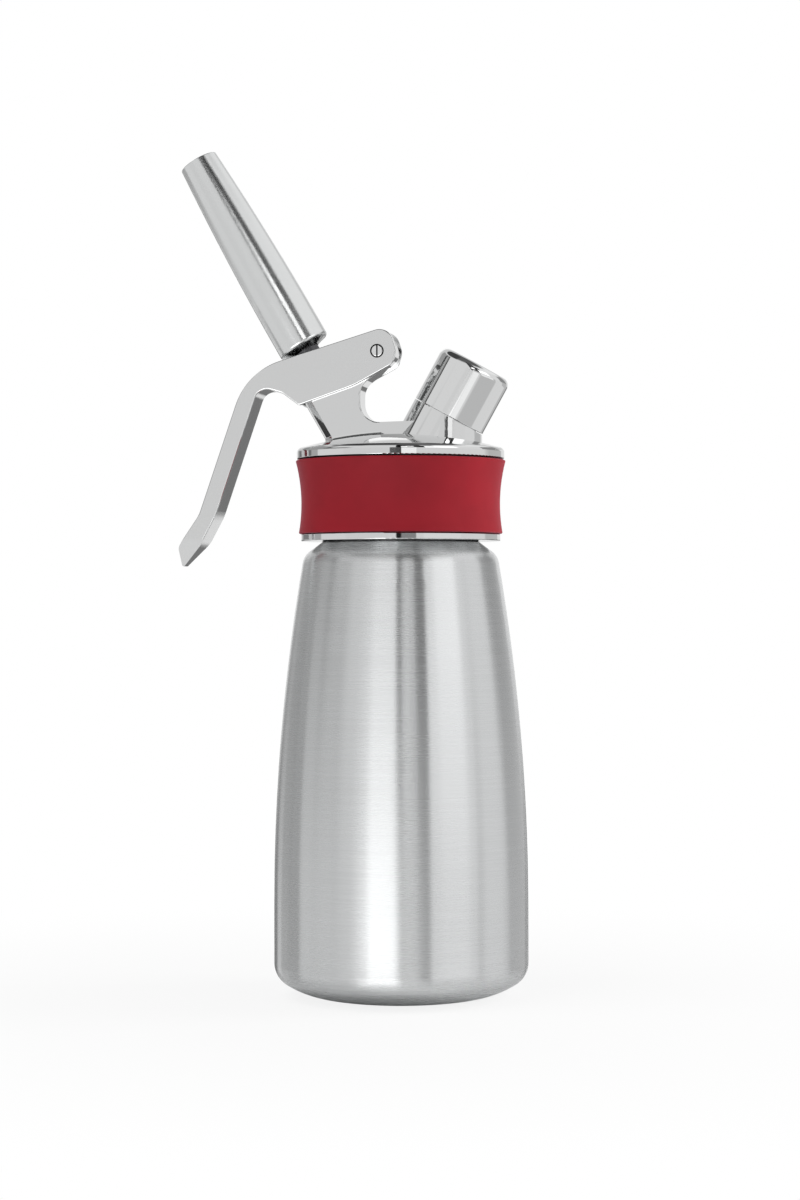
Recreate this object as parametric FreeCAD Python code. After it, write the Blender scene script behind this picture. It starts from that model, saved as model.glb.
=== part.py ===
"""Whipped cream dispenser: steel bottle, screw-on head with a squeeze lever, valve and charger port.

Millimetres, +Z up. The origin is the centre of the bottle's flat base. The nozzle and the lever
point to -X, the charger port points to +X, and the model is symmetric about the plane y = 0.
"""
import FreeCAD, Part
import math
import os

V = FreeCAD.Vector
X_AXIS, Y_AXIS, Z_AXIS = V(1, 0, 0), V(0, 1, 0), V(0, 0, 1)

# ---------------------------------------------------------------- clearances
slide_gap = 0.05            # radial play of a piece that slides or screws in a bore
face_gap = 0.02             # play between faces that seal or press on each other
soft_gap = 0.15             # play beside a soft piece
overlap = 1.0               # cutters and joined shapes reach this far past a surface
near = 1e-3                 # tolerance when edges are picked by position
far_out = 100.0             # farther out than any piece of the head
coil_lengths_a_turn = 16    # straight lengths that make one turn of a spring

# ---------------------------------------------------------------- bottle
body_radius = 42.3          # widest part
body_wall = 0.9
base_flat_radius = 22.8
base_corner_height = 11.0   # height of the rounded corner above the base
base_corner_radius = 7.6    # its upper, tighter arc; the flatter arc below follows
belly_height = 30.0         # the side is upright up to here, then leans in
shoulder_radius = 32.7      # where the side ends
shoulder_height = 144.0
shoulder_rounding = 6.0
shoulder_cone_rise = 3.2    # rise of the cone under the neck
shoulder_cone_run = 4.4
neck_radius = 25.5          # bottom of the neck's thread
shoulder_rise = 7.4         # from the end of the side to the foot of the neck
neck_length = 16.6          # foot of the neck to the lip
neck_corner_rounding = 1.2
neck_thread_depth = 0.8
neck_thread_pitch = 3.0
neck_thread_turns = 3
neck_thread_start = 5.6     # first thread ridge above the foot of the neck
neck_thread_crest = 0.9     # width of a ridge at its top
lip_height = 2.4
lip_depth = 0.7             # the lip stands this far out on both sides of the wall
lip_rounding = 0.6

# ---------------------------------------------------------------- head: collar and dome
# Heights in the head are measured from the collar's lower edge.
collar_drop = 0.1           # the collar reaches this far down past the foot of the neck
foot_ring_inset = 0.7       # the foot ring lies this far inside the band's lower edge
foot_ring_height = 2.3
crown_ring_inset = 0.35     # the crown ring lies this far inside the band's upper edge
crown_ring_height = 2.2     # upright part of the upper ring
crown_ring_rounding = 1.6
band_groove_radius = 30.5
band_height = 24.4
band_top_gap = 0.4          # open joint above the grip band
ring_edge_rounding = 0.35
dome_rise = 4.6             # from the ring's top edge to the dome's middle
dome_wall = 2.6
gasket_thickness = 2.3
gasket_inner_radius = 24.1
cavity_radius = 23.0        # the hollow above the gasket
cavity_rounding = 2.0

# ---------------------------------------------------------------- grip band
band_top_radius = 34.9
band_waist_radius = 33.1
band_foot_radius = 33.9
band_waist_height = 10.5    # above the band's lower edge
band_edge_rounding = 0.4

# ---------------------------------------------------------------- head: web, valve tower and lever ear
valve_tilt = 30.0           # the valve leans towards -X
valve_cross_height = 8.9    # where the valve's axis crosses the bottle's axis
web_thickness = 10.6
tower_half_width = 9.4      # from the valve's axis to the tower's outer flank
tower_top = 48.5            # along the valve's axis
tower_corner_rounding = 1.0
tower_keel_width = 3.0      # the flank is upright over this width, then slants to the web's faces
tower_draft = 38.5          # slant of the flank beside its keel
tower_keel_rounding = 4.0
tower_edge_rounding = 0.4   # between the slanted flank and the web's faces
web_edge_rounding = 0.4
web_foot_rounding = 1.2     # where the web rises from the dome
pivot_side = 21.16          # lever pin, measured square to the valve's axis
pivot_along = 50.25         # lever pin, along the valve's axis
ear_radius = 5.85
ear_shoulder_side = 6.5     # the ear starts here beside the valve
ear_shoulder_rounding = 1.5
ear_left_angle = 125.0      # directions in which the web's outline leaves the ear's circle
ear_right_angle = -40.0
stem_back = -12.8           # upright back edge of the stem
stem_back_knee = 51.5       # height where the back edge turns to the ear
stem_knee_rounding = 6.0
saddle_height = 39.5        # top of the web between stem and port
saddle_rounding = 6.5

# ---------------------------------------------------------------- valve
seat_along = 22.0           # valve seat, along the valve's axis
valve_boss_radius = 6.6
valve_boss_top = 28.5       # inside the tower's solid part
valve_bore_radius = 4.0
valve_bore_top = 37.0
guide_bore_radius = 3.0 + slide_gap
spring_pocket_radius = 4.1
spring_pocket_floor = 40.0
piston_radius = valve_bore_radius - slide_gap
piston_top_gap = 0.5
piston_neck_top = 26.5
piston_neck_radius = 2.8
piston_shaft_radius = 3.0
cream_bore_radius = 1.8
cream_bore_start = 23.0
cream_port_radius = 1.1
cream_port_along = 24.4
o_ring_section = 0.6        # radius of the ring's round section
o_ring_places = (31.0, 34.2)
o_ring_groove_width = 1.5
seat_washer_radius = 5.8
seat_washer_thickness = 1.6
seat_nut_radius = 5.0
seat_nut_thickness = 3.0
seat_nut_flange = 1.0
seat_nut_flats = 8.0

adapter_flange_radius = 5.3
adapter_flange_bottom = 52.0
adapter_flange_thickness = 2.0
adapter_neck_radius = 4.2
adapter_edge_rounding = 0.25
adapter_thread_radius = 4.5
adapter_thread_inset = 0.9  # the thread starts this far inside the nozzle
adapter_thread_length = 8.25
adapter_socket_depth = 14.0  # the piston's shaft is screwed in this far

valve_spring_wire = 0.7
valve_spring_radius = 3.55  # to the middle of the wire
valve_spring_turns = 6.0

# ---------------------------------------------------------------- nozzle
nozzle_base = 64.9          # lower edge of the tube, along the valve's axis
nozzle_length = 72.7
nozzle_base_radius = 8.8
nozzle_tip_radius = 6.6
nozzle_belly_radius = 8.85  # where the side's two tangents meet, halfway up
nozzle_belly_rounding = 1050.0
nozzle_wall = 1.2
nozzle_edge_rounding = 1.0
nozzle_foot_drop = 1.2      # cone under the base
nozzle_foot_inset = 1.1     # the cone starts this far inside the base's edge
nozzle_tip_rounding = 0.25
nozzle_plug_length = 12.0   # solid base that holds the thread
nozzle_passage_radius = 2.4
nozzle_passage_rounding = 2.0
nozzle_seal_thickness = 1.0

# ---------------------------------------------------------------- lever
lever_width = 13.8
lever_slot_width = web_thickness + 0.4
lever_slot_end = -11.5      # end of the slot, measured square to the valve's axis
lever_slot_roof = 55.5      # along the valve's axis
lever_notch_side = 6.0      # the notch around the adapter opens into the slot here
lever_notch_width = 9.2
lever_notch_end = -5.2
lever_rocker_radius = 3.0   # rounded pads that press on the adapter's flange
lever_edge_rounding = 0.4
lever_foot_taper = 10.0     # the handle narrows over this height above its tip
lever_foot_width = 4.4      # at the tip
lever_foot_rounding = 2.0
lever_foot_shoulder_rounding = 8.0
pin_radius = 2.0
pin_hole_gap = 0.03
pin_edge_rounding = 0.35
pin_slot_width = 0.5
pin_slot_depth = 0.6
pin_dish_radius = 2.3       # recess around the pin's end
pin_dish_depth = 0.6

# Corners of the lever's side view, from its pivot: across (x), up (z), rounding.
lever_outline = [
    (3.9, 8.4, 5.0),        # top of the pivot end
    (6.6, 0.4, 5.0),
    (5.1, -4.5, 3.5),
    (-7.7, -11.4, 30.0),    # underside, over the ear
    (-26.4, -17.8, 1.2),    # lower corner beside the tower
    (-32.2, -13.5, 4.0),
    (-40.1, -11.3, 4.5),    # crook where a finger hooks in
    (-54.8, -54.3, 20.0),   # handle, inner side
    (-59.8, -63.7, 12.0),
    (-67.2, -71.8, 0.5),    # tip
    (-68.0, -64.9, 3.0),
    (-60.6, -54.0, 10.0),   # handle, outer side
    (-44.2, -6.3, 23.0),    # bend over the crook
]

# ---------------------------------------------------------------- charger port and cap
port_tilt = 29.0            # the port leans towards +X
port_seam_x = 16.2          # centre of the seam under the cap
port_seam_height = 41.3
port_radius = 12.65
port_boss_depth = 12.0
port_flare_start = -6.0     # the web widens to the boss from here (x) ...
port_flare_run = 8.2        # ... to this far before the middle of the seam ...
port_flare_inset = 2.05     # ... where it ends this far inside the boss's radius
spigot_radius = 10.3
spigot_height = 15.0
socket_radius = 4.75        # takes the neck of a gas charger
socket_mouth_radius = 8.0
socket_mouth_depth = 3.2
socket_floor = -3.4         # along the port's axis, from the seam
check_nose_radius = 4.6
check_nose_bottom = -15.0
check_bore_radius = 2.6
check_seat = -6.0
gas_hole_radius = 1.0
cap_seam = 0.25
cap_height = 19.7
cap_top_rounding = 2.8
cap_edge_rounding = 0.25
cap_seal_thickness = 2.5
cap_seal_inner_radius = 5.0

filter_thickness = 1.2
pin_holder_top = 3.0
needle_radius = 1.2
needle_bore_radius = 0.5
needle_tip = 9.0
needle_point_length = 2.2
needle_point_wall = 0.1
charger_gasket_thickness = 2.4
check_ball_radius = 2.0
check_spring_wire = 0.35
check_spring_radius = 1.5
check_spring_turns = 4.0
check_plug_inset = 0.4
check_plug_thickness = 1.6
check_plug_hole_radius = 0.9

# ---------------------------------------------------------------- sizes that follow
neck_foot_height = shoulder_height + shoulder_rise
bottle_height = neck_foot_height + neck_length
collar_overlap = neck_length + collar_drop
collar_bottom = bottle_height - collar_overlap
band_bottom = foot_ring_height + soft_gap
band_top = band_bottom + band_height
crown_bottom = band_top + band_top_gap
crown_side_top = crown_bottom + crown_ring_height
crown_top = crown_side_top + crown_ring_rounding
foot_ring_radius = band_foot_radius - foot_ring_inset
crown_ring_radius = band_top_radius - crown_ring_inset
dome_top = crown_top + dome_rise
dome_edge_radius = crown_ring_radius - crown_ring_rounding
dome_radius = (dome_edge_radius ** 2 + dome_rise ** 2) / (2 * dome_rise)
neck_crest_radius = neck_radius + neck_thread_depth
collar_bore_radius = neck_crest_radius + slide_gap
gasket_bottom = collar_overlap + face_gap
gasket_top = gasket_bottom + gasket_thickness
shelf_height = gasket_top + face_gap
adapter_flange_top = adapter_flange_bottom + adapter_flange_thickness
nozzle_foot = nozzle_base - nozzle_foot_drop
nozzle_tip = nozzle_base + nozzle_length
adapter_thread_bottom = nozzle_foot + adapter_thread_inset
adapter_top = adapter_thread_bottom + adapter_thread_length
spring_top = adapter_flange_bottom - face_gap
cap_bore_radius = spigot_radius + slide_gap
cap_seal_bottom = spigot_height + face_gap
cap_ceiling = cap_seal_bottom + cap_seal_thickness + face_gap
port_foot_drop = port_seam_height - shelf_height
pin_holder_bottom = socket_floor + filter_thickness
check_ball_centre = check_seat - math.sqrt(check_ball_radius ** 2 - gas_hole_radius ** 2) - face_gap
check_plug_bottom = check_nose_bottom + check_plug_inset


# ================================================================ helpers
def rounded_wire(corners, closed=True):
    """Wire in the XZ plane through (x, z) or (x, z, rounding) corners, with tangent arcs."""
    points = [V(c[0], 0, c[1]) for c in corners]
    radii = [c[2] if len(c) > 2 else 0.0 for c in corners]
    count = len(points)
    edges = []
    last = None
    first = None
    for i, here in enumerate(points):
        open_end = not closed and i in (0, count - 1)
        if radii[i] == 0.0 or open_end:
            start = end = here
            arc = None
        else:
            come = (here - points[i - 1]).normalize()
            go = (points[(i + 1) % count] - here).normalize()
            half_turn = come.getAngle(go) / 2
            reach = radii[i] * math.tan(half_turn)
            start = here - come * reach
            end = here + go * reach
            inwards = (go - come).normalize()
            middle = here + inwards * (radii[i] / math.cos(half_turn) - radii[i])
            arc = Part.Arc(start, middle, end).toShape()
        if last is not None and (start - last).Length > 1e-6:
            edges.append(Part.makeLine(last, start))
        if arc is not None:
            edges.append(arc)
        if first is None:
            first = start
        last = end
    if closed and (first - last).Length > 1e-6:
        edges.append(Part.makeLine(last, first))
    return Part.Wire(edges)


def turned(corners):
    """Solid of revolution about Z from the half section's corners."""
    return Part.Face(rounded_wire(corners)).revolve(V(0, 0, 0), Z_AXIS, 360)


def tube(outer, inner, bottom, top):
    """Plain ring about Z."""
    return turned([(inner, bottom), (outer, bottom), (outer, top), (inner, top)])


def rod(radius, bottom, top):
    """Plain cylinder about Z."""
    return Part.makeCylinder(radius, top - bottom, V(0, 0, bottom))


def plate(corners, width):
    """Flat plate in the XZ plane, centred on y = 0."""
    face = Part.Face(rounded_wire(corners))
    face.translate(V(0, -width / 2, 0))
    return face.extrude(V(0, width, 0))


def flat_face(corners):
    """Face in the XY plane from (x, y) or (x, y, rounding) corners."""
    face = Part.Face(rounded_wire(corners))
    face.rotate(V(0, 0, 0), X_AXIS, -90)
    return face


def box(x0, x1, half_y, z0, z1):
    """Box centred on y = 0."""
    return Part.makeBox(x1 - x0, 2 * half_y, z1 - z0, V(x0, -half_y, z0))


def coil(radius, wire, turns, bottom, top):
    """Helical spring about Z whose wire lies between two heights, in short mitred lengths."""
    rise = top - bottom - wire
    count = int(turns * coil_lengths_a_turn)
    spots = []
    for i in range(count + 1):
        angle = 2 * math.pi * turns * i / count
        spots.append(V(radius * math.cos(angle), radius * math.sin(angle),
                       bottom + wire / 2 + rise * i / count))
    section = Part.Wire(Part.makeCircle(wire / 2, spots[0], spots[1] - spots[0]))
    mitred = 1
    return Part.makePolygon(spots).makePipeShell([section], True, False, mitred)


def valve_point(side, along):
    """(x, z) in the head of a point given across and along the valve's axis."""
    angle = math.radians(valve_tilt)
    x = side * math.cos(angle) - along * math.sin(angle)
    z = valve_cross_height + side * math.sin(angle) + along * math.cos(angle)
    return x, z


valve_place = FreeCAD.Placement(V(0, 0, valve_cross_height), FreeCAD.Rotation(Y_AXIS, -valve_tilt))
port_place = FreeCAD.Placement(V(port_seam_x, 0, port_seam_height), FreeCAD.Rotation(Y_AXIS, port_tilt))
pivot_x, pivot_z = valve_point(pivot_side, pivot_along)


def on_valve(shape):
    """Move a shape built about Z onto the valve's axis."""
    moved = shape.copy()
    moved.Placement = valve_place.multiply(moved.Placement)
    return moved


def on_port(shape):
    """Move a shape built about Z onto the charger port's axis."""
    moved = shape.copy()
    moved.Placement = port_place.multiply(moved.Placement)
    return moved


def cross_pin(radius, length, x=pivot_x, z=pivot_z):
    """Cylinder along Y, centred on y = 0."""
    return Part.makeCylinder(radius, length, V(x, -length / 2, z), Y_AXIS)


def edges_where(shape, test):
    """Edges whose two ends and middle all pass a test."""
    chosen = []
    for edge in shape.Edges:
        middle = edge.valueAt((edge.FirstParameter + edge.LastParameter) / 2)
        spots = [vertex.Point for vertex in edge.Vertexes] + [middle]
        if all(test(spot) for spot in spots):
            chosen.append(edge)
    return chosen


# ================================================================ bottle
def make_bottle():
    lean = body_radius - shoulder_radius
    climb = shoulder_height - belly_height
    side_radius = (lean ** 2 + climb ** 2) / (2 * lean)
    lean_angle = math.asin(climb / side_radius)
    half_angle = lean_angle / 2
    side_middle = V(body_radius - side_radius * (1 - math.cos(half_angle)), 0,
                    belly_height + side_radius * math.sin(half_angle))

    # Two tangent arcs make the corner: one leaves the base level, one meets the side upright.
    corner_run = body_radius - base_flat_radius - base_corner_radius
    flat_radius = ((corner_run ** 2 + base_corner_height ** 2 - base_corner_radius ** 2)
                   / (2 * (base_corner_height - base_corner_radius)))
    meet_angle = math.atan2(corner_run, flat_radius - base_corner_height)
    meeting = V(base_flat_radius + flat_radius * math.sin(meet_angle), 0,
                flat_radius * (1 - math.cos(meet_angle)))
    flat_middle = V(base_flat_radius + flat_radius * math.sin(meet_angle / 2), 0,
                    flat_radius * (1 - math.cos(meet_angle / 2)))
    steep_angle = (meet_angle + math.pi / 2) / 2
    steep_middle = V(body_radius - base_corner_radius * (1 - math.sin(steep_angle)), 0,
                     base_corner_height - base_corner_radius * math.cos(steep_angle))

    # The side runs on straight to the corner of the shoulder, where it meets the cone's line.
    cone_slope = shoulder_cone_run / shoulder_cone_rise
    side_slope = math.tan(lean_angle)
    cone_x = neck_radius + cone_slope * neck_foot_height
    corner_z = (cone_x - shoulder_radius - side_slope * shoulder_height) / (cone_slope - side_slope)
    corner_x = shoulder_radius - side_slope * (corner_z - shoulder_height)

    upper = rounded_wire([
        (shoulder_radius, shoulder_height),
        (corner_x, corner_z, shoulder_rounding),
        (neck_radius, neck_foot_height, neck_corner_rounding),
        (neck_radius, bottle_height),
    ], closed=False)
    skin = Part.Wire([
        Part.makeLine(V(0, 0, 0), V(base_flat_radius, 0, 0)),
        Part.Arc(V(base_flat_radius, 0, 0), flat_middle, meeting).toShape(),
        Part.Arc(meeting, steep_middle, V(body_radius, 0, base_corner_height)).toShape(),
        Part.makeLine(V(body_radius, 0, base_corner_height), V(body_radius, 0, belly_height)),
        Part.Arc(V(body_radius, 0, belly_height), side_middle,
                 V(shoulder_radius, 0, shoulder_height)).toShape(),
    ] + upper.Edges)
    lining = skin.makeOffset2D(body_wall, 0, False, True)
    inside_of_base = V(0, 0, body_wall)
    inside_of_lip = V(neck_radius - body_wall, 0, bottle_height)
    section = Part.Wire(Part.__sortEdges__(skin.Edges + lining.Edges + [
        Part.makeLine(V(0, 0, 0), inside_of_base),
        Part.makeLine(V(neck_radius, 0, bottle_height), inside_of_lip),
    ]))
    shell = Part.Face(section).revolve(V(0, 0, 0), Z_AXIS, 360)

    lip = turned([
        (neck_radius - body_wall, bottle_height - lip_height, lip_rounding / 2),
        (neck_radius + lip_depth, bottle_height - lip_height, lip_rounding),
        (neck_radius + lip_depth, bottle_height, lip_rounding),
        (neck_radius - body_wall, bottle_height, lip_rounding / 2),
    ])
    bottle = shell.fuse(lip)
    for turn in range(neck_thread_turns):
        middle = neck_foot_height + neck_thread_start + turn * neck_thread_pitch
        half_crest = neck_thread_crest / 2
        half_root = half_crest + neck_thread_depth
        ridge = turned([
            (neck_radius - body_wall / 2, middle - half_root),
            (neck_radius, middle - half_root),
            (neck_crest_radius, middle - half_crest),
            (neck_crest_radius, middle + half_crest),
            (neck_radius, middle + half_root),
            (neck_radius - body_wall / 2, middle + half_root),
        ])
        bottle = bottle.fuse(ridge)
    return bottle.removeSplitter()


# ================================================================ head
def make_collar_and_dome():
    """Outside of the head without its web and port: rings, band groove and dome, still solid."""
    half_angle = math.asin(dome_edge_radius / dome_radius) / 2
    dome_middle = V(dome_radius * math.sin(half_angle), 0,
                    dome_top - dome_radius * (1 - math.cos(half_angle)))
    side = rounded_wire([
        (0, 0),
        (foot_ring_radius, 0, ring_edge_rounding),
        (foot_ring_radius, foot_ring_height, ring_edge_rounding),
        (band_groove_radius, foot_ring_height),
        (band_groove_radius, crown_bottom),
        (crown_ring_radius, crown_bottom, ring_edge_rounding),
        (crown_ring_radius, crown_top, crown_ring_rounding),
        (dome_edge_radius, crown_top),
    ], closed=False)
    dome = Part.Arc(V(dome_edge_radius, 0, crown_top), dome_middle, V(0, 0, dome_top)).toShape()
    outline = Part.Wire(side.Edges + [dome, Part.makeLine(V(0, 0, dome_top), V(0, 0, 0))])
    return Part.Face(outline).revolve(V(0, 0, 0), Z_AXIS, 360)


def make_web():
    """Flat web: valve tower, ear for the lever pin, and the saddle that runs to the port."""
    ear_left = math.radians(ear_left_angle)
    ear_right = math.radians(ear_right_angle)
    web = plate([
        valve_point(-tower_half_width, seat_along),
        valve_point(-tower_half_width, tower_top) + (tower_corner_rounding,),
        valve_point(ear_shoulder_side, tower_top) + (ear_shoulder_rounding,),
        (pivot_x + ear_radius * math.cos(ear_left), pivot_z + ear_radius * math.sin(ear_left)),
        (pivot_x, pivot_z),
        (pivot_x + ear_radius * math.cos(ear_right), pivot_z + ear_radius * math.sin(ear_right)),
        (stem_back, stem_back_knee, stem_knee_rounding),
        (stem_back, saddle_height, saddle_rounding),
        (port_seam_x / 2, saddle_height),
        (port_seam_x / 2, shelf_height),
    ], web_thickness + overlap)

    # Seen along the valve, the flank is a keel with slanted sides, as a casting has.
    half_keel = tower_keel_width / 2
    half_web = web_thickness / 2
    slant_end = -tower_half_width + (half_web - half_keel) * math.tan(math.radians(tower_draft))
    plan = flat_face([
        (-tower_half_width, -half_keel, tower_keel_rounding),
        (-tower_half_width, half_keel, tower_keel_rounding),
        (slant_end, half_web, tower_edge_rounding),
        (far_out, half_web),
        (far_out, -half_web),
        (slant_end, -half_web, tower_edge_rounding),
    ])
    web = web.common(on_valve(plan.extrude(V(0, 0, far_out))))

    def on_stem_back(spot):
        return (abs(abs(spot.y) - half_web) < near
                and stem_back - near < spot.x < stem_back + saddle_rounding + near
                and saddle_height - near < spot.z < stem_back_knee + stem_knee_rounding)

    web = web.makeFillet(web_edge_rounding, edges_where(web, on_stem_back))
    return web.fuse(cross_pin(ear_radius, web_thickness))


def make_port_boss():
    """Boss under the cap: it leans with the port, has an upright foot and widens out of the web."""
    half_web = web_thickness / 2
    half_flare = port_radius - port_flare_inset
    flare_end = port_seam_x - port_flare_run
    leaning = on_port(rod(port_radius, -port_boss_depth, 0))
    seam = Part.Face(Part.Wire(Part.makeCircle(port_radius, V(0, 0, 0), Z_AXIS)))
    foot = on_port(seam).extrude(V(0, 0, -port_foot_drop))
    flare = flat_face([
        (port_flare_start, half_web),
        (flare_end, half_flare),
        (port_seam_x, half_flare),
        (port_seam_x, -half_flare),
        (flare_end, -half_flare),
        (port_flare_start, -half_web),
    ])
    flare.translate(V(0, 0, shelf_height))
    return leaning.fuse([foot, flare.extrude(V(0, 0, saddle_height - shelf_height))])


def make_head_cavity():
    """Threaded bore, gasket seat and the hollow under the dome."""
    edge_drop = crown_top + dome_rise * (1 - (cavity_radius / dome_edge_radius) ** 2) - dome_wall
    return turned([
        (0, -overlap),
        (collar_bore_radius, -overlap),
        (collar_bore_radius, shelf_height),
        (cavity_radius, shelf_height),
        (cavity_radius, edge_drop, cavity_rounding),
        (0, dome_top - dome_wall),
    ])


def make_head_body():
    head = make_collar_and_dome().fuse(make_web())

    def on_dome(spot):
        from_centre = (spot - V(0, 0, dome_top - dome_radius)).Length
        inside_rim = math.hypot(spot.x, spot.y) < dome_edge_radius - web_foot_rounding
        return abs(from_centre - dome_radius) < near and inside_rim

    head = head.makeFillet(web_foot_rounding, edges_where(head, on_dome))
    head = head.fuse(make_port_boss()).cut(make_head_cavity())

    inner_bosses = [
        on_valve(rod(valve_boss_radius, seat_along, valve_boss_top)),
        on_port(rod(check_nose_radius, check_nose_bottom, check_seat)),
        on_port(rod(spigot_radius, -overlap, spigot_height)),
    ]
    head = head.fuse(inner_bosses)

    valve_bores = rod(valve_bore_radius, seat_along - overlap, valve_bore_top).fuse([
        rod(guide_bore_radius, valve_bore_top - overlap, spring_pocket_floor + overlap),
        rod(spring_pocket_radius, spring_pocket_floor, tower_top + overlap),
    ])
    mouth = turned([
        (0, spigot_height - socket_mouth_depth),
        (socket_radius, spigot_height - socket_mouth_depth),
        (socket_mouth_radius, spigot_height),
        (socket_mouth_radius, spigot_height + overlap),
        (0, spigot_height + overlap),
    ])
    port_bores = rod(socket_radius, socket_floor, spigot_height).fuse([
        mouth,
        rod(gas_hole_radius, check_seat - overlap, socket_floor + overlap),
        rod(check_bore_radius, check_nose_bottom - overlap, check_seat),
    ])
    head = head.cut([
        on_valve(valve_bores),
        on_port(port_bores),
        cross_pin(pin_radius, web_thickness + overlap),
    ])
    return head.removeSplitter()


def make_grip_band():
    waist_z = band_bottom + band_waist_height
    outer = Part.Arc(V(band_foot_radius, 0, band_bottom + band_edge_rounding),
                     V(band_waist_radius, 0, waist_z),
                     V(band_top_radius, 0, band_top - band_edge_rounding)).toShape()
    trim = band_edge_rounding * (1 - math.cos(math.pi / 4))
    foot = Part.Arc(V(band_foot_radius - band_edge_rounding, 0, band_bottom),
                    V(band_foot_radius - trim, 0, band_bottom + trim),
                    V(band_foot_radius, 0, band_bottom + band_edge_rounding)).toShape()
    top = Part.Arc(V(band_top_radius, 0, band_top - band_edge_rounding),
                   V(band_top_radius - trim, 0, band_top - trim),
                   V(band_top_radius - band_edge_rounding, 0, band_top)).toShape()
    inner_foot = V(band_groove_radius, 0, band_bottom)
    inner_top = V(band_groove_radius, 0, band_top)
    outline = Part.Wire([
        Part.makeLine(inner_foot, V(band_foot_radius - band_edge_rounding, 0, band_bottom)),
        foot, outer, top,
        Part.makeLine(V(band_top_radius - band_edge_rounding, 0, band_top), inner_top),
        Part.makeLine(inner_top, inner_foot),
    ])
    return Part.Face(outline).revolve(V(0, 0, 0), Z_AXIS, 360)


def make_head_gasket():
    outer = collar_bore_radius - soft_gap
    return tube(outer, gasket_inner_radius, gasket_bottom, gasket_top)


# ================================================================ lever
def make_lever():
    lever = plate([(pivot_x + x, pivot_z + z, rounding) for x, z, rounding in lever_outline],
                  lever_width)

    def on_face(spot):
        return abs(abs(spot.y) - lever_width / 2) < near

    slot = box(lever_slot_end, far_out, lever_slot_width / 2, 0, lever_slot_roof).fuse(
        box(lever_notch_side, far_out, lever_slot_width / 2, 0, far_out))
    notch_round = lever_notch_width / 2
    notch = rod(notch_round, 0, far_out)
    notch.translate(V(lever_notch_end + notch_round, 0, 0))
    notch = notch.fuse(box(lever_notch_end + notch_round, lever_notch_side + overlap, notch_round, 0,
                           far_out))
    rocker_z = adapter_flange_top + face_gap + lever_rocker_radius
    rocker = cross_pin(lever_rocker_radius, lever_width - 2 * lever_edge_rounding, 0, rocker_z)

    # Seen from the front, the handle ends in a rounded tongue.
    tip_z = pivot_z + min(z for x, z, rounding in lever_outline)
    half_width = lever_width / 2
    tongue = Part.Face(rounded_wire([
        (-half_width - overlap, far_out),
        (-half_width - overlap, tip_z + lever_foot_taper + overlap),
        (-half_width, tip_z + lever_foot_taper, lever_foot_shoulder_rounding),
        (-lever_foot_width / 2, tip_z, lever_foot_rounding),
        (lever_foot_width / 2, tip_z, lever_foot_rounding),
        (half_width, tip_z + lever_foot_taper, lever_foot_shoulder_rounding),
        (half_width + overlap, tip_z + lever_foot_taper + overlap),
        (half_width + overlap, far_out),
    ]))
    tongue.rotate(V(0, 0, 0), Z_AXIS, 90)
    tongue.translate(V(-far_out, 0, 0))

    lever = lever.makeFillet(lever_edge_rounding, edges_where(lever, on_face))
    lever = lever.common(tongue.extrude(V(2 * far_out, 0, 0)))
    lever = lever.cut(on_valve(slot)).fuse(on_valve(rocker)).cut(on_valve(notch))
    lever = lever.cut(cross_pin(pin_radius + pin_hole_gap, lever_width + overlap))
    for side in (-1, 1):
        dish = Part.makeCylinder(pin_dish_radius, pin_dish_depth + overlap,
                                 V(pivot_x, side * (lever_width / 2 - pin_dish_depth), pivot_z),
                                 Y_AXIS * side)
        lever = lever.cut(dish)
    return lever.removeSplitter()


def make_lever_pin():
    pin = cross_pin(pin_radius, lever_width)
    pin = pin.makeFillet(pin_edge_rounding, [edge for edge in pin.Edges if edge.Closed])
    slot = Part.makeBox(pin_slot_width, pin_slot_depth, 4 * pin_radius,
                        V(pivot_x - pin_slot_width / 2, -lever_width / 2, pivot_z - 2 * pin_radius))
    return pin.cut(slot)


# ================================================================ valve
def make_valve_piston():
    top = adapter_flange_bottom + adapter_socket_depth
    body = turned([
        (0, seat_along - face_gap - seat_washer_thickness - seat_nut_thickness),
        (piston_neck_radius, seat_along - face_gap - seat_washer_thickness - seat_nut_thickness),
        (piston_neck_radius, piston_neck_top),
        (piston_radius, piston_neck_top),
        (piston_radius, valve_bore_top - piston_top_gap),
        (piston_shaft_radius, valve_bore_top - piston_top_gap),
        (piston_shaft_radius, top),
        (0, top),
    ])
    groove_floor = valve_bore_radius - face_gap - 2 * o_ring_section
    cuts = [rod(cream_bore_radius, cream_bore_start, top + overlap)]
    for place in o_ring_places:
        cuts.append(tube(piston_radius + overlap, groove_floor, place - o_ring_groove_width / 2,
                         place + o_ring_groove_width / 2))
    for direction in (X_AXIS, Y_AXIS):
        start = V(0, 0, cream_port_along) - direction * piston_radius
        cuts.append(Part.makeCylinder(cream_port_radius, 2 * piston_radius, start, direction))
    return on_valve(body.cut(cuts))


def make_piston_o_rings():
    middle = valve_bore_radius - face_gap - o_ring_section
    rings = [Part.makeTorus(middle, o_ring_section, V(0, 0, place)) for place in o_ring_places]
    return on_valve(Part.makeCompound(rings))


def make_seat_washer():
    top = seat_along - face_gap
    return on_valve(tube(seat_washer_radius, piston_neck_radius, top - seat_washer_thickness, top))


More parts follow.
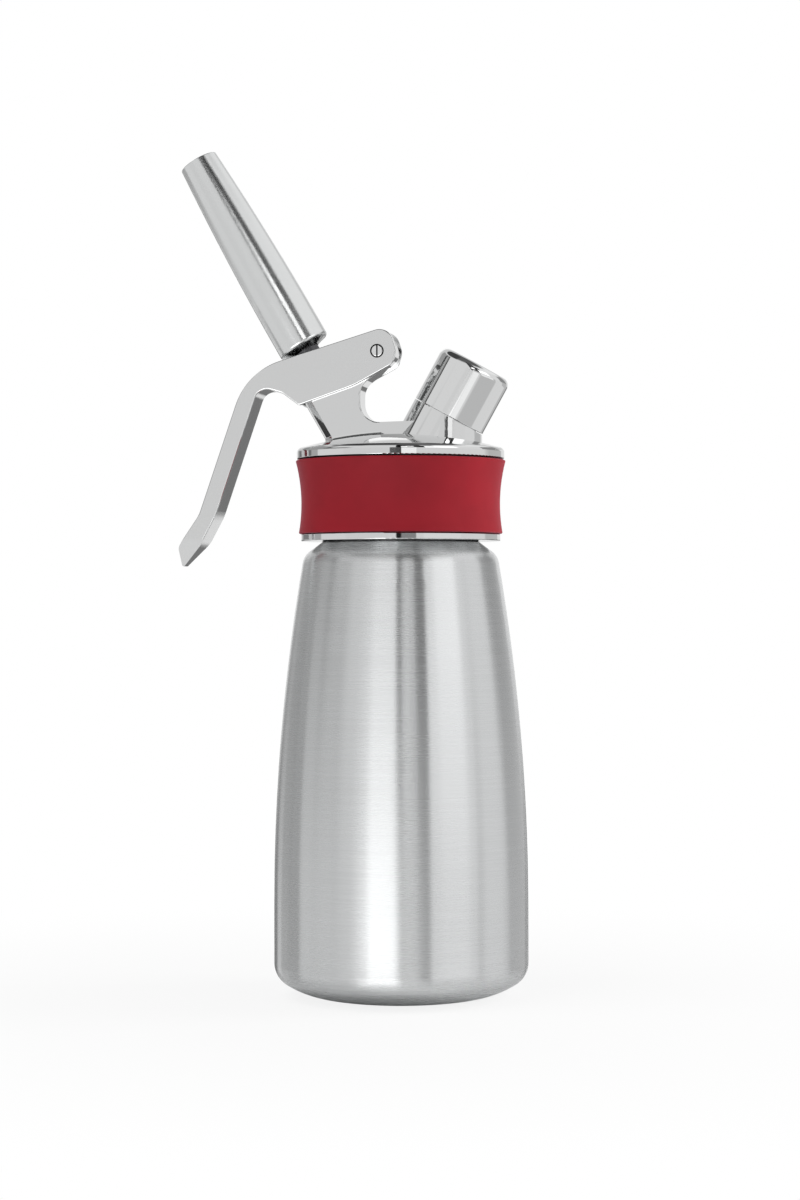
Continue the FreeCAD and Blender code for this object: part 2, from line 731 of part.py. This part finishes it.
def make_seat_nut():
    top = seat_along - face_gap - seat_washer_thickness
    bottom = top - seat_nut_thickness
    flange = rod(seat_nut_radius, top - seat_nut_flange, top)
    reach = seat_nut_flats / 2 / math.cos(math.pi / 6)
    corners = [V(reach * math.cos(math.pi / 3 * i), reach * math.sin(math.pi / 3 * i), bottom)
               for i in range(6)]
    hexagon = Part.Face(Part.makePolygon(corners + corners[:1])).extrude(V(0, 0, top - bottom))
    return on_valve(hexagon.fuse(flange).cut(rod(piston_neck_radius, bottom - overlap, top + overlap)))


def make_nozzle_adapter():
    socket_top = adapter_flange_bottom + adapter_socket_depth
    return on_valve(turned([
        (piston_shaft_radius, adapter_flange_bottom),
        (adapter_flange_radius, adapter_flange_bottom, adapter_edge_rounding),
        (adapter_flange_radius, adapter_flange_top, adapter_edge_rounding),
        (adapter_neck_radius, adapter_flange_top),
        (adapter_neck_radius, adapter_thread_bottom),
        (adapter_thread_radius, adapter_thread_bottom),
        (adapter_thread_radius, adapter_top, adapter_edge_rounding),
        (cream_bore_radius, adapter_top),
        (cream_bore_radius, socket_top),
        (piston_shaft_radius, socket_top),
    ]))


def make_valve_spring():
    return on_valve(coil(valve_spring_radius, valve_spring_wire, valve_spring_turns,
                         spring_pocket_floor + face_gap, spring_top))


def make_nozzle_seal():
    bottom = adapter_top + face_gap
    return on_valve(tube(adapter_thread_radius - soft_gap, nozzle_passage_radius, bottom,
                         bottom + nozzle_seal_thickness))


def make_nozzle():
    seal_top = adapter_top + 2 * face_gap + nozzle_seal_thickness
    plug_top = nozzle_base + nozzle_plug_length
    slope = (nozzle_base_radius - nozzle_tip_radius) / nozzle_length
    chamber_foot = nozzle_base_radius - slope * nozzle_plug_length - nozzle_wall
    thread_bore = adapter_thread_radius + slide_gap
    return on_valve(turned([
        (thread_bore, nozzle_foot),
        (nozzle_base_radius - nozzle_foot_inset, nozzle_base),
        (nozzle_base_radius, nozzle_base, nozzle_edge_rounding),
        (nozzle_belly_radius, nozzle_base + nozzle_length / 2, nozzle_belly_rounding),
        (nozzle_tip_radius, nozzle_tip, nozzle_tip_rounding),
        (nozzle_tip_radius - nozzle_wall, nozzle_tip, nozzle_tip_rounding),
        (chamber_foot, plug_top + chamber_foot - nozzle_passage_radius, nozzle_passage_rounding),
        (nozzle_passage_radius, plug_top),
        (nozzle_passage_radius, seal_top),
        (thread_bore, seal_top),
    ]))


# ================================================================ charger port
def make_cap():
    bottom, top = cap_seam, cap_seam + cap_height
    return on_port(turned([
        (cap_bore_radius, bottom, cap_edge_rounding),
        (port_radius, bottom, cap_edge_rounding),
        (port_radius, top, cap_top_rounding),
        (0, top),
        (0, cap_ceiling),
        (cap_bore_radius, cap_ceiling),
    ]))


def make_cap_seal():
    return on_port(tube(spigot_radius - soft_gap, cap_seal_inner_radius, cap_seal_bottom,
                        cap_seal_bottom + cap_seal_thickness))


def make_gas_filter():
    return on_port(rod(socket_radius - slide_gap, socket_floor, pin_holder_bottom - face_gap))


def make_pin_holder():
    return on_port(tube(socket_radius - slide_gap, needle_radius, pin_holder_bottom, pin_holder_top))


def make_piercing_pin():
    return on_port(turned([
        (needle_bore_radius, pin_holder_bottom),
        (needle_radius, pin_holder_bottom),
        (needle_radius, needle_tip - needle_point_length),
        (needle_bore_radius + needle_point_wall, needle_tip),
        (needle_bore_radius, needle_tip),
    ]))


def make_charger_gasket():
    bottom = pin_holder_top + face_gap
    return on_port(tube(socket_radius - soft_gap, needle_radius + soft_gap, bottom,
                        bottom + charger_gasket_thickness))


def make_check_ball():
    return on_port(Part.makeSphere(check_ball_radius, V(0, 0, check_ball_centre)))


def make_check_spring():
    half_wire = check_spring_wire / 2
    reach = check_ball_radius + half_wire + slide_gap
    top = check_ball_centre - math.sqrt(reach ** 2 - check_spring_radius ** 2) + half_wire
    bottom = check_plug_bottom + check_plug_thickness + face_gap
    return on_port(coil(check_spring_radius, check_spring_wire, check_spring_turns, bottom, top))


def make_check_plug():
    return on_port(tube(check_bore_radius - slide_gap, check_plug_hole_radius, check_plug_bottom,
                        check_plug_bottom + check_plug_thickness))


# ================================================================ export
head_pieces = {
    "head_body": make_head_body,
    "grip_band": make_grip_band,
    "head_gasket": make_head_gasket,
    "lever": make_lever,
    "lever_pin": make_lever_pin,
    "valve_piston": make_valve_piston,
    "piston_o_rings": make_piston_o_rings,
    "seat_washer": make_seat_washer,
    "seat_nut": make_seat_nut,
    "valve_spring": make_valve_spring,
    "nozzle_adapter": make_nozzle_adapter,
    "nozzle_seal": make_nozzle_seal,
    "nozzle": make_nozzle,
    "cap": make_cap,
    "cap_seal": make_cap_seal,
    "pin_holder": make_pin_holder,
    "piercing_pin": make_piercing_pin,
    "charger_gasket": make_charger_gasket,
    "gas_filter": make_gas_filter,
    "check_ball": make_check_ball,
    "check_spring": make_check_spring,
    "check_plug": make_check_plug,
}

os.makedirs("parts", exist_ok=True)
make_bottle().exportStep("parts/bottle.step")
for name, make_piece in head_pieces.items():
    piece = make_piece()
    piece.translate(V(0, 0, collar_bottom))
    piece.exportStep("parts/" + name + ".step")
    print(name, "valid" if piece.isValid() else "NOT VALID", len(piece.Solids), "solid(s)",
          round(piece.Volume, 1), "mm3")
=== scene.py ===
# %% [markdown]
# # A cream whipper, dressed for a studio picture
# The metal and silicone parts come from the CAD model, already in place and in metres. This
# lesson gives each part its finish, then builds the floor, the light and the camera.
# We load the frame first, because every later step hangs something on it.

# %% Load the frame
import bmesh
import bpy
import math
from mathutils import Matrix, Vector

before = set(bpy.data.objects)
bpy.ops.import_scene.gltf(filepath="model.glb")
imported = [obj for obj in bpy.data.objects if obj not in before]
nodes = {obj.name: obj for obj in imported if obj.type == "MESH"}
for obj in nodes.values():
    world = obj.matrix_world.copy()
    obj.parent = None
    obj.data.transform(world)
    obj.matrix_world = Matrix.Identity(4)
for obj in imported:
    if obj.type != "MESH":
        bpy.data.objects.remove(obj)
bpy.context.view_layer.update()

# %% [markdown]
# ## Small helpers for node materials
# A Blender material is a graph of nodes. Writing each node by hand takes many lines, so one
# helper adds a node, sets its options and fills or links its sockets in one call.


# %% Node helpers
def add(tree, kind, inputs=None, **options):
    """New node of a kind. An input is a number, a colour, or another node's output to link."""
    made = tree.nodes.new("ShaderNode" + kind)
    for option, value in options.items():
        setattr(made, option, value)
    for socket, value in (inputs or {}).items():
        if isinstance(value, bpy.types.NodeSocket):
            tree.links.new(value, made.inputs[socket])
        else:
            made.inputs[socket].default_value = value
    return made


def math_node(tree, operation, *values):
    """Output of a Math node."""
    return add(tree, "Math", dict(enumerate(values)), operation=operation).outputs[0]


def ease(tree, value, low, high, start=0.0, end=1.0):
    """Output that eases from start to end while value goes from low to high."""
    return add(tree, "MapRange", {"Value": value, "From Min": low, "From Max": high,
                                  "To Min": start, "To Max": end},
               interpolation_type="SMOOTHSTEP").outputs[0]


def new_finish(name, colour, **settings):
    """Material with one Principled shader; returns its node tree and that shader."""
    material = bpy.data.materials.new(name)
    material.use_nodes = True
    material.diffuse_color = (*colour, 1.0)
    shader = material.node_tree.nodes["Principled BSDF"]
    shader.inputs["Base Color"].default_value = (*colour, 1.0)
    for socket, value in settings.items():
        shader.inputs[socket.replace("_", " ")].default_value = value
    return material.node_tree, shader


def stretched_noise(tree, scale, detail=2.0):
    """Noise on object coordinates, scaled on X, Y and Z, so that its grain can run one way."""
    place = add(tree, "TexCoord")
    stretched = add(tree, "Mapping", {"Vector": place.outputs["Object"], "Scale": scale})
    return add(tree, "TexNoise", {"Vector": stretched.outputs[0], "Scale": 1.0, "Detail": detail,
                                  "Roughness": 0.6}).outputs["Fac"]


def tint(tree, shader, mask, dark, light):
    """Base colour that goes from dark to light with a mask."""
    mixed = add(tree, "Mix", {"Factor": mask, "A": (*dark, 1.0), "B": (*light, 1.0)},
                data_type="RGBA")
    tree.links.new(mixed.outputs["Result"], shader.inputs["Base Color"])


def raise_bump(tree, shader, height, depth, strength=1.0):
    """Fine relief, with its depth in metres."""
    bump = add(tree, "Bump", {"Height": height, "Distance": depth, "Strength": strength})
    tree.links.new(bump.outputs["Normal"], shader.inputs["Normal"])


print("helpers ready")

# %% [markdown]
# ## Brushed steel
# A belt turns round the bottle and leaves thousands of fine scratches that run round it. A
# scratched surface blurs a reflection across the scratches and keeps it sharp along them, which
# draws the tall streaks that brushed bottles show. The shader's anisotropy does this. Its
# tangent says which way the highlight stretches: up the bottle.

# %% Brushed steel
line_contrast = 0.03        # how much the scratches lighten or darken the colour
roughness_swing = 0.02


def brushed_steel(name, colour, stretch, grain, roughness, anisotropy, depth):
    """Steel brushed one way; stretch is the highlight's axis, grain the noise scale on X, Y, Z."""
    tree, shader = new_finish(name, colour, Metallic=1.0, Roughness=roughness,
                              Anisotropic=anisotropy)
    direction = add(tree, "CombineXYZ", {"X": stretch[0], "Y": stretch[1], "Z": stretch[2]})
    in_world = add(tree, "VectorTransform", {"Vector": direction.outputs[0]},
                   vector_type="VECTOR", convert_from="OBJECT", convert_to="WORLD")
    tree.links.new(in_world.outputs[0], shader.inputs["Tangent"])
    lines = stretched_noise(tree, grain, 3.0)
    clouds = stretched_noise(tree, (25.0, 25.0, 25.0), 1.0)
    blend = math_node(tree, "MULTIPLY_ADD", clouds, 0.4, math_node(tree, "MULTIPLY", lines, 0.6))
    darker = tuple(c * (1.0 - line_contrast) for c in colour)
    lighter = tuple(min(1.0, c * (1.0 + line_contrast)) for c in colour)
    tint(tree, shader, ease(tree, lines, 0.30, 0.70), darker, lighter)
    varied = ease(tree, blend, 0.25, 0.75, roughness - roughness_swing,
                  roughness + roughness_swing)
    tree.links.new(varied, shader.inputs["Roughness"])
    raise_bump(tree, shader, lines, depth, 0.5)
    return bpy.data.materials[name]


bottle_steel = brushed_steel("steel_brushed_round", (0.72, 0.73, 0.735),
                             stretch=(0.0, 0.0, 1.0), grain=(40.0, 40.0, 2600.0),
                             roughness=0.27, anisotropy=1.0, depth=0.000003)
print("brushed steel:", bottle_steel.name)

# %% [markdown]
# ## Polished and satin steel
# The head is cast and then polished until it mirrors the room. The lever is tumbled, so it
# stays a little soft, and the drawn nozzle is softer still. All of them need a trace of
# waviness, because no hand-polished casting is perfectly flat, and that trace is what bends
# the edges of reflections. The adapter under the nozzle is painted dull and dark: painted shade
# for the shadow under the nozzle's base.


# %% Polished and satin steel
def polished_steel(name, colour, roughness, wave=30.0, wave_depth=0.000004):
    """Smooth steel with a slow waviness: wave is its frequency a metre, wave_depth in metres."""
    tree, shader = new_finish(name, colour, Metallic=1.0, Roughness=roughness)
    smears = stretched_noise(tree, (60.0, 60.0, 60.0), 2.0)
    tree.links.new(ease(tree, smears, 0.35, 0.65, roughness * 0.9, roughness * 1.1),
                   shader.inputs["Roughness"])
    waves = stretched_noise(tree, (wave, wave, wave), 0.0)
    raise_bump(tree, shader, waves, wave_depth)
    return bpy.data.materials[name]


mirror_steel = polished_steel("steel_mirror", (0.76, 0.765, 0.765), 0.05)
lever_steel = polished_steel("steel_satin", (0.75, 0.755, 0.755), 0.10)
nozzle_steel = polished_steel("steel_nozzle", (0.74, 0.75, 0.75), 0.20)
cap_steel = polished_steel("steel_cap", (0.78, 0.785, 0.785), 0.06)
pin_steel = polished_steel("steel_pin", (0.82, 0.825, 0.825), 0.10)
# The adapter's near-black colour is painted shade for the shadow under the nozzle's base.
shade_dark_steel = polished_steel("steel_dull", (0.10, 0.10, 0.105), 0.35)
wire_steel = polished_steel("steel_wire", (0.55, 0.56, 0.57), 0.25, wave=300.0,
                            wave_depth=0.00001)
print("polished steels:", mirror_steel.name, lever_steel.name, nozzle_steel.name, cap_steel.name)

# %% [markdown]
# ## Painted shade in the joints
# Where two polished parts meet, the narrow joint is painted dark. That colour is painted
# shade, for the shade in the gap where hardly any light gets in. Each joint is a small mask in
# object coordinates: a ring round the lever pin, the pin's slot, and the two grooves beside the
# grip band.

# %% Painted shade in the joints
# This near-black is painted shade: it darkens the joints as the shade in the gaps would.
joint_shade_colour = (0.02, 0.02, 0.02)
joint_shade_fade = 0.00004        # a joint's edge goes from pale to dark over this length
pivot = Vector((-0.0068, 0.0, 0.2143))
pin_face = 0.0069           # the pin's ends lie this far from the middle plane
pin_sunk = 0.00002          # deeper than this below that face counts as joint
dish_reach = 0.00232        # radius of the dish round the pin
dish_fade = 0.00003
groove_low, groove_high = 0.15342, 0.17872      # the band's grooves lie between these heights
groove_reach = 0.030        # and beyond this radius
reach_fade = 0.0001


def from_axis(tree, centre, across):
    """Distance from an axis through centre; across is 1 on the axes square to it, else 0."""
    place = add(tree, "TexCoord").outputs["Object"]
    offset = add(tree, "VectorMath", {0: place, 1: centre}, operation="SUBTRACT").outputs[0]
    flat = add(tree, "VectorMath", {0: offset, 1: across}, operation="MULTIPLY").outputs[0]
    return add(tree, "VectorMath", {0: flat}, operation="LENGTH").outputs["Value"]


def paint_joint_shade(material, tree, mask):
    """Paint the joints' painted shade onto a polished steel where the mask is 1."""
    shader = tree.nodes["Principled BSDF"]
    tint(tree, shader, mask, tuple(shader.inputs["Base Color"].default_value)[:3], joint_shade_colour)
    print("dark joint on", material.name)


# Painted shade in the dish round the lever pin and in the pin's slot.
for steel, reach in ((lever_steel, dish_reach), (pin_steel, 2 * dish_reach)):
    tree = steel.node_tree
    near_pin = ease(tree, from_axis(tree, pivot, (1.0, 0.0, 1.0)), reach, reach + dish_fade,
                    1.0, 0.0)
    sideways = from_axis(tree, pivot, (0.0, 1.0, 0.0))
    sunk = ease(tree, sideways, pin_face - pin_sunk - joint_shade_fade, pin_face - pin_sunk, 1.0, 0.0)
    paint_joint_shade(steel, tree, math_node(tree, "MULTIPLY", near_pin, sunk))

# Painted shade in the two grooves beside the grip band, under the collar rings.
tree = mirror_steel.node_tree
height = from_axis(tree, (0.0, 0.0, 0.0), (0.0, 0.0, 1.0))
in_groove = math_node(tree, "MULTIPLY",
                      ease(tree, height, groove_low - joint_shade_fade, groove_low),
                      ease(tree, height, groove_high, groove_high + joint_shade_fade, 1.0, 0.0))
outside = ease(tree, from_axis(tree, (0.0, 0.0, 0.0), (1.0, 1.0, 0.0)),
               groove_reach - reach_fade, groove_reach)
paint_joint_shade(mirror_steel, tree, math_node(tree, "MULTIPLY", in_groove, outside))

# %% [markdown]
# ## Silicone and rubber
# The grip band is moulded silicone: deep red, matte, with a faint bloom where it turns away
# from the eye. Sheen gives that bloom. A fine grain keeps the highlight from looking like
# plastic. Gaskets use the same recipe in other colours.


# %% Silicone and rubber
def moulded_rubber(name, colour, roughness, sheen, sheen_colour):
    """Matte elastomer with a fine moulded grain and a bloom at glancing angles."""
    tree, shader = new_finish(name, colour, Roughness=roughness, Specular_IOR_Level=0.25,
                              Sheen_Weight=sheen, Sheen_Roughness=0.30,
                              Sheen_Tint=(*sheen_colour, 1.0))
    cloud = stretched_noise(tree, (70.0, 70.0, 70.0), 2.0)
    tint(tree, shader, ease(tree, cloud, 0.3, 0.7), tuple(c * 0.93 for c in colour),
         tuple(c * 1.05 for c in colour))
    grain = stretched_noise(tree, (2600.0, 2600.0, 2600.0), 2.0)
    raise_bump(tree, shader, grain, 0.00002, 0.5)
    return bpy.data.materials[name]


red_silicone = moulded_rubber("silicone_red", (0.270, 0.006, 0.014), 0.60, 0.16,
                              (1.0, 0.55, 0.75))
clear_silicone = moulded_rubber("silicone_natural", (0.72, 0.71, 0.68), 0.45, 0.1,
                                (1.0, 1.0, 1.0))
black_rubber = moulded_rubber("rubber_black", (0.025, 0.025, 0.026), 0.5, 0.1, (0.6, 0.6, 0.6))
print("rubbers:", red_silicone.name, clear_silicone.name, black_rubber.name)

# %% [markdown]
# ## Turned brass and sintered bronze
# Small inner parts are turned from brass bar, and the gas filter is pressed from bronze grains.
# Turned metal shows faint rings, so its noise is stretched. The filter gets a coarse grain.


# %% Brass and bronze
def yellow_metal(name, colour, roughness, grain, depth):
    """Brass or bronze with a machined or grainy surface."""
    tree, shader = new_finish(name, colour, Metallic=1.0, Roughness=roughness)
    marks = stretched_noise(tree, grain, 3.0)
    tint(tree, shader, marks, tuple(c * 0.8 for c in colour), colour)
    raise_bump(tree, shader, marks, depth, 0.6)
    return bpy.data.materials[name]


turned_brass = yellow_metal("brass_turned", (0.72, 0.55, 0.27), 0.25, (300.0, 300.0, 4000.0),
                            0.00001)
filter_bronze = yellow_metal("bronze_sintered", (0.45, 0.32, 0.18), 0.6,
                             (3000.0, 3000.0, 3000.0), 0.00008)
print("yellow metals:", turned_brass.name, filter_bronze.name)

# %% [markdown]
# ## Finishes on parts
# Each CAD part keeps its shape and only changes its material. One table says which part wears
# which finish.

# %% Dress the parts
finish_of = {
    "bottle": bottle_steel,
    "nozzle": nozzle_steel,
    "lever": lever_steel,
    "head_body": mirror_steel,
    "lever_pin": pin_steel,
    "nozzle_adapter": shade_dark_steel,
    "valve_piston": mirror_steel,
    "seat_nut": mirror_steel,
    "piercing_pin": mirror_steel,
    "cap": cap_steel,
    "valve_spring": wire_steel,
    "check_spring": wire_steel,
    "check_ball": wire_steel,
    "grip_band": red_silicone,
    "head_gasket": clear_silicone,
    "nozzle_seal": clear_silicone,
    "cap_seal": clear_silicone,
    "piston_o_rings": black_rubber,
    "seat_washer": black_rubber,
    "charger_gasket": black_rubber,
    "pin_holder": turned_brass,
    "check_plug": turned_brass,
    "gas_filter": filter_bronze,
}
for part, finish in finish_of.items():
    mesh = nodes[part].data
    mesh.materials.clear()
    mesh.materials.append(finish)
    print(part, "->", finish.name, len(mesh.polygons), "faces")

# %% [markdown]
# ## Floor
# The object stands on a pale floor that runs out to white. The floor is a plain disc. To the
# camera it is nearly white, and a share of real diffuse shading keeps the soft shadow
# under the bottle. Far from the bottle that share fades, so that no horizon line shows. In the
# steel's reflections the floor ends close to the bottle, as a small table in a studio would,
# so that the steel also shows the panels that hang lower than the table's top.

# %% Floor
floor_radius = 0.40
floor_drop = 0.0002         # just under the bottle's base, so that the two never coincide
white_share = 0.86          # beside the bottle, the rest is real shading
white_fade = (0.05, 0.30)   # distances between which the share grows to 1
mirror_fade = (0.04, 0.08)  # distances between which reflections lose the floor
floor_mesh = bpy.data.meshes.new("floor")
disc = bmesh.new()
bmesh.ops.create_circle(disc, cap_ends=True, segments=96, radius=floor_radius)
bmesh.ops.translate(disc, verts=disc.verts, vec=(0.0, 0.0, -floor_drop))
disc.to_mesh(floor_mesh)
disc.free()
floor = bpy.data.objects.new("floor", floor_mesh)
bpy.context.scene.collection.objects.link(floor)

tree, shader = new_finish("floor_pale", (0.80, 0.80, 0.80), Roughness=0.9)
white = add(tree, "Emission", {"Color": (1.0, 1.0, 1.0, 1.0), "Strength": 1.0})
light_path = add(tree, "LightPath")
place = add(tree, "TexCoord")
distance = add(tree, "VectorMath", {0: place.outputs["Object"]},
               operation="LENGTH").outputs["Value"]
fade = ease(tree, distance, *white_fade, white_share, 1.0)
share = math_node(tree, "MULTIPLY", fade, light_path.outputs["Is Camera Ray"])
mixed = add(tree, "MixShader", {0: share, 1: shader.outputs[0], 2: white.outputs[0]})
mirrored = math_node(tree, "ADD", light_path.outputs["Is Glossy Ray"],
                     light_path.outputs["Is Transmission Ray"])
gone = math_node(tree, "MULTIPLY", mirrored, ease(tree, distance, *mirror_fade))
clear = add(tree, "BsdfTransparent")
cut = add(tree, "MixShader", {0: gone, 1: mixed.outputs[0], 2: clear.outputs[0]})
tree.links.new(cut.outputs[0], tree.nodes["Material Output"].inputs["Surface"])
floor_mesh.materials.append(bpy.data.materials["floor_pale"])
print("floor radius", floor_radius)

# %% [markdown]
# ## Studio light
# Polished metal shows little of itself and much of the room, so the room is designed like a
# product studio. The world is a soft grey surround that turns dark overhead, with many panels,
# bright and dark. Bright ones stand beside the camera and behind the object, narrow dark ones
# in between draw the lines that give the steel its shape. Each panel is a smooth mask in
# azimuth and elevation, in degrees, seen from the object, with 0 towards the camera.

# %% Studio surround
view_azimuth = 9.2          # the camera stands this far round towards +X, in degrees
world = bpy.data.worlds.new("studio")
bpy.context.scene.world = world
world.use_nodes = True
sky = world.node_tree
sky.nodes.clear()
direction = add(sky, "TexCoord").outputs["Generated"]
parts_of = add(sky, "SeparateXYZ", {0: direction})
away = math_node(sky, "MULTIPLY", parts_of.outputs["Y"], -1.0)
turn = math_node(sky, "MULTIPLY", math_node(sky, "ARCTAN2", parts_of.outputs["X"], away),
                 180.0 / math.pi)
azimuth = math_node(sky, "WRAP", math_node(sky, "SUBTRACT", turn, view_azimuth), 180.0, -180.0)
elevation = math_node(sky, "MULTIPLY", math_node(sky, "ARCSINE", parts_of.outputs["Z"]),
                      180.0 / math.pi)


def window(angle, low, high, soft):
    """1 between low and high, easing to 0 over soft degrees outside them."""
    rise = ease(sky, angle, low - soft, low)
    fall = ease(sky, angle, high, high + soft, 1.0, 0.0)
    return math_node(sky, "MULTIPLY", rise, fall)


def panel(base, level, angle, sideways, upwards, soft):
    """Surround with one more panel: level inside the ranges, base outside."""
    mask = math_node(sky, "MULTIPLY", window(angle, *sideways, soft[0]),
                     window(elevation, *upwards, soft[1]))
    return add(sky, "Mix", {"Factor": mask, "A": base, "B": level},
               data_type="FLOAT").outputs["Result"]


# Measured from straight behind the object, for panels that are the same on both sides.
behind = math_node(sky, "SUBTRACT", 180.0, math_node(sky, "ABSOLUTE", azimuth))

# %% [markdown]
# ## The panels
# Each row gives a panel's level, which angle its sideways range counts, that range, its range
# in elevation, and the softness of its edges sideways and upwards. A later row covers the
# earlier ones. The rows stay in groups by what they are for, which makes it easy to dim one
# reflection without touching the others.

# %% The panels
room = 0.80                 # level of the walls
ceiling = 0.12              # level overhead
ceiling_edge = (42.0, 62.0)  # elevations between which the walls turn into the ceiling
panels = (
    # The room: a pale right wall, a darker ceiling and left wall, and big lamps to the right.
    (0.95, azimuth, (20.0, 165.0), (35.0, 47.0), (12.0, 8.0)),
    (0.06, azimuth, (-172.0, -60.0), (50.0, 85.0), (12.0, 4.0)),
    (0.28, azimuth, (-112.0, -66.0), (8.0, 20.0), (14.0, 3.0)),
    (1.60, azimuth, (28.0, 70.0), (10.0, 28.0), (2.0, 3.0)),
    (0.85, azimuth, (70.0, 112.0), (6.0, 30.0), (8.0, 5.0)),
    (0.30, azimuth, (112.0, 180.0), (6.0, 25.0), (8.0, 5.0)),
    (0.58, azimuth, (24.0, 78.0), (-60.0, -4.0), (6.0, 6.0)),
    (1.00, azimuth, (27.0, 72.0), (-13.0, 0.0), (2.0, 2.0)),
    (0.56, azimuth, (116.0, 165.0), (-16.0, 4.0), (4.0, 2.0)),
    # The flat sides of lever and web, and the bottle's bright streak left of its middle.
    (0.76, azimuth, (-64.0, -15.0), (-20.0, 6.5), (4.0, 1.5)),
    (3.20, azimuth, (-31.0, -24.0), (-40.0, -20.0), (22.0, 2.0)),
    (2.40, azimuth, (-26.0, -5.5), (-40.0, -5.5), (8.0, 1.5)),
    # The dark side of the camera: the bottle's grey strip, and the nozzle's bright line in it.
    (0.08, azimuth, (-4.5, 26.0), (6.5, 60.0), (1.0, 3.0)),
    (2.10, azimuth, (0.0, 7.0), (16.5, 23.0), (1.5, 2.0)),
    (2.10, azimuth, (6.5, 14.5), (20.5, 28.0), (1.5, 2.0)),
    (0.05, azimuth, (20.0, 39.0), (28.5, 43.0), (2.5, 2.0)),
    (0.03, azimuth, (19.5, 26.0), (6.0, 38.0), (1.0, 1.0)),
    (0.25, azimuth, (-4.6, 17.0), (-0.5, 6.5), (1.0, 1.0)),
    (0.01, azimuth, (-4.8, 0.2), (-1.0, 60.0), (0.8, 1.0)),
    # The port and the two rings of the collar.
    (0.10, azimuth, (-11.5, -1.0), (2.2, 3.6), (0.8, 0.4)),
    (1.10, azimuth, (1.2, 17.0), (2.4, 5.4), (1.0, 0.6)),
    (1.05, azimuth, (3.0, 14.5), (-14.0, -1.5), (2.5, 1.5)),
    # Dim sides to the left and behind, which draw the left edges of cap, tower and ear.
    (0.45, azimuth, (-180.0, -105.0), (-12.0, 12.0), (1.0, 2.0)),
    (0.37, azimuth, (-180.0, -92.0), (14.0, 40.0), (1.0, 3.0)),
    (0.08, azimuth, (-93.0, -88.0), (20.0, 40.0), (0.6, 4.0)),
    (0.20, azimuth, (-152.0, -118.0), (1.5, 5.0), (2.0, 1.0)),
    (0.05, azimuth, (-132.0, -110.0), (-28.0, -19.0), (2.0, 1.0)),
    (0.85, azimuth, (-180.0, -142.0), (-25.0, -6.5), (3.0, 2.0)),
    # Straight behind: the dome, the lever's inner side and the curve under the ear.
    (0.68, behind, (0.0, 34.0), (10.0, 44.0), (6.0, 3.0)),
    (1.10, behind, (0.0, 14.0), (15.0, 23.0), (6.0, 3.0)),
    (0.20, behind, (0.0, 25.0), (-30.0, -3.0), (5.0, 3.0)),
    (0.85, behind, (0.0, 18.4), (-1.5, 10.5), (1.0, 1.5)),
    (0.85, azimuth, (150.0, 163.0), (-1.0, 10.0), (2.0, 1.0)),
    (0.85, azimuth, (161.0, 168.0), (-12.0, -6.8), (1.0, 0.6)),
)
light = ease(sky, elevation, *ceiling_edge, room, ceiling)
for level, angle, sideways, upwards, soft in panels:
    light = panel(light, level, angle, sideways, upwards, soft)
print("panels:", len(panels))

# %% [markdown]
# ## White for the camera
# The camera itself sees plain white instead of the panels. Is Camera Ray tells its rays from
# the mirrored ones.

# %% White for the camera
light_path = add(sky, "LightPath")
shown = add(sky, "Mix", {"Factor": light_path.outputs["Is Camera Ray"], "A": light, "B": 1.0},
            data_type="FLOAT").outputs["Result"]
backdrop = add(sky, "Background", {"Color": (1.0, 1.0, 1.0, 1.0), "Strength": shown})
add(sky, "OutputWorld", {"Surface": backdrop.outputs[0]})
print("surround nodes:", len(sky.nodes))

# %% [markdown]
# ## Lamps
# One large area lamp above and to the left gives the floor shadow its direction and lights
# upward faces. It is wide, so that the shadow stays soft. A tall lamp behind the right
# shoulder of the object draws a pale line along the edge of the silicone. Both are hidden from
# mirror reflections, so that the steel shows only the panels.


# %% Lamps
def area_lamp(name, place, aim, width, height, energy):
    """Rectangular lamp at place that points at aim, unseen in mirror reflections."""
    data = bpy.data.lights.new(name, "AREA")
    data.shape = "RECTANGLE"
    data.size, data.size_y = width, height
    data.energy = energy
    lamp = bpy.data.objects.new(name, data)
    bpy.context.scene.collection.objects.link(lamp)
    lamp.location = place
    lamp.rotation_euler = (Vector(aim) - Vector(place)).to_track_quat("-Z", "Y").to_euler()
    lamp.visible_glossy = False
    print(name, "at", place)


area_lamp("softbox", (-0.45, -0.35, 1.15), aim=(0.0, 0.0, 0.1), width=0.9, height=0.6, energy=6.0)
area_lamp("rim", (0.50, 0.12, 0.25), aim=(0.0, 0.0, 0.16), width=0.25, height=0.5, energy=2.2)

# %% [markdown]
# ## Camera
# A long lens from nearly a metre keeps the bottle's sides almost parallel. The camera is level
# with the middle of the object and looks a few degrees round from the side.

# %% Camera
camera_distance = 0.9333
camera_height = 0.1317
camera_roll = math.radians(-0.09)
camera_shift = -0.0007      # sideways, as a share of the picture's longer side
lens_length = 84.0          # in millimetres, as is the sensor
sensor_width = 36.0
camera_data = bpy.data.cameras.new("camera")
camera_data.lens = lens_length
camera_data.sensor_width = sensor_width
camera_data.shift_x = camera_shift
camera = bpy.data.objects.new("camera", camera_data)
bpy.context.scene.collection.objects.link(camera)
bearing = math.radians(view_azimuth)
camera.location = (camera_distance * math.sin(bearing), -camera_distance * math.cos(bearing),
                   camera_height)
camera.rotation_euler = (Matrix.Rotation(bearing, 3, "Z") @ Matrix.Rotation(math.pi / 2, 3, "X")
                         @ Matrix.Rotation(camera_roll, 3, "Z")).to_euler()
bpy.context.scene.camera = camera
bpy.context.scene.view_settings.view_transform = "Standard"
print("camera", [round(v, 4) for v in camera.location])
